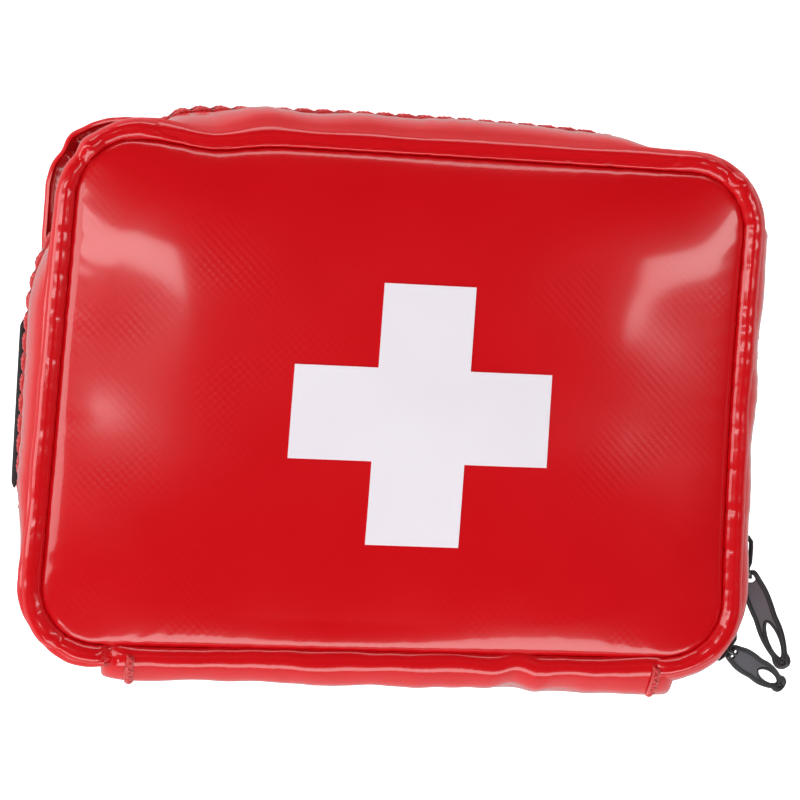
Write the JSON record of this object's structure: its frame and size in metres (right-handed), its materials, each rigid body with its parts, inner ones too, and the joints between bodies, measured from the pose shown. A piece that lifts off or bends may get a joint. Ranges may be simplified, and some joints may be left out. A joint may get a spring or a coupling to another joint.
{
  "type": "first_aid_kit",
  "caption": "Small soft first aid kit pouch in glossy red coated fabric with a white cross, a two-way zip on three sides, a belt band on the back and its supplies inside.",
  "frame": {"origin": "middle of the pouch on the flat face of the belt band that it rests on", "axes": "+X to the right side of the pouch, where the sliders are, +Y to its top edge, +Z out of the front panel; the pouch lies on its back"},
  "size_m": [0.1842, 0.1281, 0.0541],
  "materials": {
    "coated_fabric_red": "glossy coated fabric with a fine woven texture",
    "red_thread": "thick twisted polyester thread",
    "foam_grey": "closed-cell foam sheet",
    "cross_film_white": "flat printed film",
    "zip_tape_black": "woven polyester tape",
    "zip_coil_black": "nylon monofilament coil",
    "enamelled_metal_black": "black enamel on die-cast zinc",
    "webbing_black": "ribbed woven webbing",
    "pull_plastic_grey": "moulded soft plastic with a satin face",
    "gauze_white": "open woven cotton gauze",
    "paper_wrap": "coated medical paper",
    "foil_gold": "folded metallised film",
    "glove_blue": "thin film over folded gloves",
    "sachet_white": "sealed foil sachet",
    "tape_white": "fine woven adhesive tape",
    "tape_core_card": "wound card",
    "plaster_tan": "woven plaster fabric",
    "brushed_steel": "brushed stainless steel",
    "pocket_mesh": "fine open net",
    "card_white": "uncoated card"
  },
  "bodies": {
    "base": {"back_panel": "coated_fabric_red", "back_stiffener": "foam_grey", "back_welt": "coated_fabric_red", "back_gusset": "coated_fabric_red", "back_topstitch": "red_thread", "zip_tape_back": "zip_tape_black", "zip_coil_back": "zip_coil_black", "zip_stop_left": "enamelled_metal_black", "zip_stop_right": "enamelled_metal_black", "hinge_strip_back": "coated_fabric_red", "bartack_back_left": "red_thread", "bartack_back_right": "red_thread", "belt_band": "webbing_black", "bandage_roll_large": "gauze_white", "bandage_roll_small": "gauze_white", "wound_dressing": "paper_wrap", "triangular_bandage": "gauze_white", "rescue_blanket": "foil_gold", "gloves_packet": "glove_blue", "gauze_pack_1": "paper_wrap", "gauze_pack_2": "paper_wrap", "gauze_pack_3": "paper_wrap", "wipe_sachet_1": "sachet_white", "wipe_sachet_2": "sachet_white", "plaster_strips": "plaster_tan", "tape_core": "tape_core_card", "tape_roll": "tape_white", "scissors_half_lower": "brushed_steel", "scissors_rivet": "brushed_steel", "tweezers": "brushed_steel"},
    "lid": {"front_panel": "coated_fabric_red", "front_welt": "coated_fabric_red", "front_gusset": "coated_fabric_red", "front_topstitch": "red_thread", "white_cross": "cross_film_white", "zip_tape_front": "zip_tape_black", "zip_coil_front": "zip_coil_black", "hinge_strip_front": "coated_fabric_red", "bartack_front_left": "red_thread", "bartack_front_right": "red_thread", "lid_pocket": "pocket_mesh", "pocket_binding": "webbing_black", "first_aid_card": "card_white"},
    "upper_slider": {"upper_slider": "enamelled_metal_black"},
    "lower_slider": {"lower_slider": "enamelled_metal_black"},
    "upper_pull": {"upper_pull": "pull_plastic_grey", "upper_pull_ring": "enamelled_metal_black"},
    "lower_pull": {"lower_pull": "pull_plastic_grey", "lower_pull_ring": "enamelled_metal_black"},
    "scissors_upper": {"scissors_half_upper": "brushed_steel"}
  },
  "joints": [
    {"name": "lid_hinge", "type": "hinge", "parent": "base", "child": "lid", "pos_m": [0, -0.0656, 0.0272], "axis": [1, 0, 0], "range_deg": [0, 180]},
    {"name": "upper_slider_travel", "type": "slide", "parent": "base", "child": "upper_slider", "axis": [0, 1, 0], "range_m": [0, 0.066]},
    {"name": "lower_slider_travel", "type": "hinge", "parent": "base", "child": "lower_slider", "pos_m": [0.062, -0.0412, 0.0272], "axis": [0, 0, 1], "range_deg": [-32, 0]},
    {"name": "upper_pull_swing", "type": "hinge", "parent": "upper_slider", "child": "upper_pull", "pos_m": [0.08494, -0.03472, 0.0272], "axis": [-0.9021, -0.4315, 0], "range_deg": [-48, 75]},
    {"name": "lower_pull_swing", "type": "hinge", "parent": "lower_slider", "child": "lower_pull", "pos_m": [0.08198, -0.05396, 0.0272], "axis": [-0.5225, -0.8526, 0], "range_deg": [-50, 95]},
    {"name": "scissors_pivot", "type": "hinge", "parent": "base", "child": "scissors_upper", "pos_m": [-0.012, -0.022, 0.0333], "axis": [0, 0, 1], "range_deg": [0, 32]}
  ]
}
